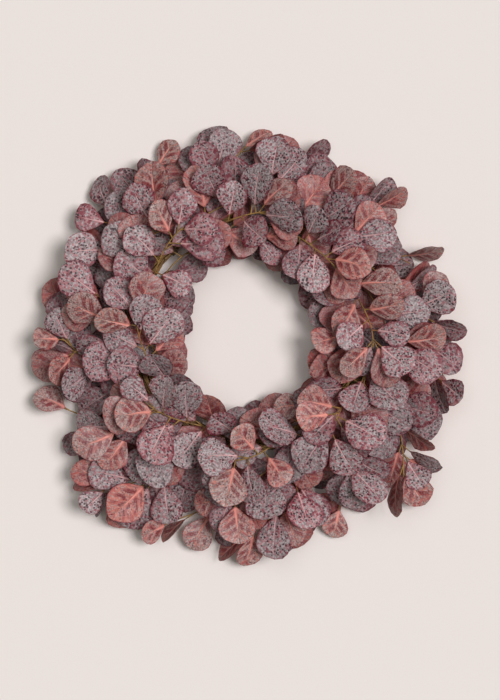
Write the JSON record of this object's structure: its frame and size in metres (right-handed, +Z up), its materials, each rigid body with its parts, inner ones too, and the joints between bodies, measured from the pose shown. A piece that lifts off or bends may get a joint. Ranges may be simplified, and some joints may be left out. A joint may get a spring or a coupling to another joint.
{
  "type": "eucalyptus wreath",
  "caption": "Round table or door wreath: leafy eucalyptus sprays bound clockwise round a hoop of wound vine canes.",
  "frame": {"origin": "under the middle of the wreath's outline, on the surface that it lies on", "axes": "+Z up out of the wreath's face, +Y towards its top, along its longer diameter; its leaves run clockwise seen from +Z"},
  "size_m": [0.4848, 0.4992, 0.0844],
  "materials": {
    "leaf": "matte, speckled burgundy over grey mauve, with coral veins",
    "cane": "dry bark",
    "binding": "waxed paper tape"
  },
  "bodies": {
    "root": {"cane_core": "cane", "cane_1": "cane", "cane_2": "cane", "cane_3": "cane", "cane_4": "cane", "cane_5": "cane", "cane_6": "cane", "binding_1": "binding", "binding_2": "binding", "binding_3": "binding", "binding_4": "binding", "binding_5": "binding", "binding_6": "binding", "binding_7": "binding", "binding_8": "binding", "spray_01": "leaf", "spray_02": "leaf", "spray_03": "leaf", "spray_04": "leaf", "spray_05": "leaf", "spray_06": "leaf", "spray_07": "leaf", "spray_08": "leaf", "spray_09": "leaf", "spray_10": "leaf", "spray_11": "leaf", "spray_12": "leaf", "spray_13": "leaf", "spray_14": "leaf", "spray_15": "leaf", "spray_16": "leaf", "spray_17": "leaf", "spray_18": "leaf", "spray_19": "leaf", "spray_20": "leaf", "spray_21": "leaf", "spray_22": "leaf", "spray_23": "leaf", "spray_24": "leaf", "spray_25": "leaf", "spray_26": "leaf", "spray_27": "leaf", "spray_28": "leaf", "spray_29": "leaf", "spray_30": "leaf", "spray_31": "leaf", "spray_32": "leaf", "spray_33": "leaf", "spray_34": "leaf", "spray_35": "leaf", "spray_36": "leaf", "spray_37": "leaf", "spray_38": "leaf", "spray_39": "leaf", "spray_40": "leaf"}
  },
  "joints": []
}
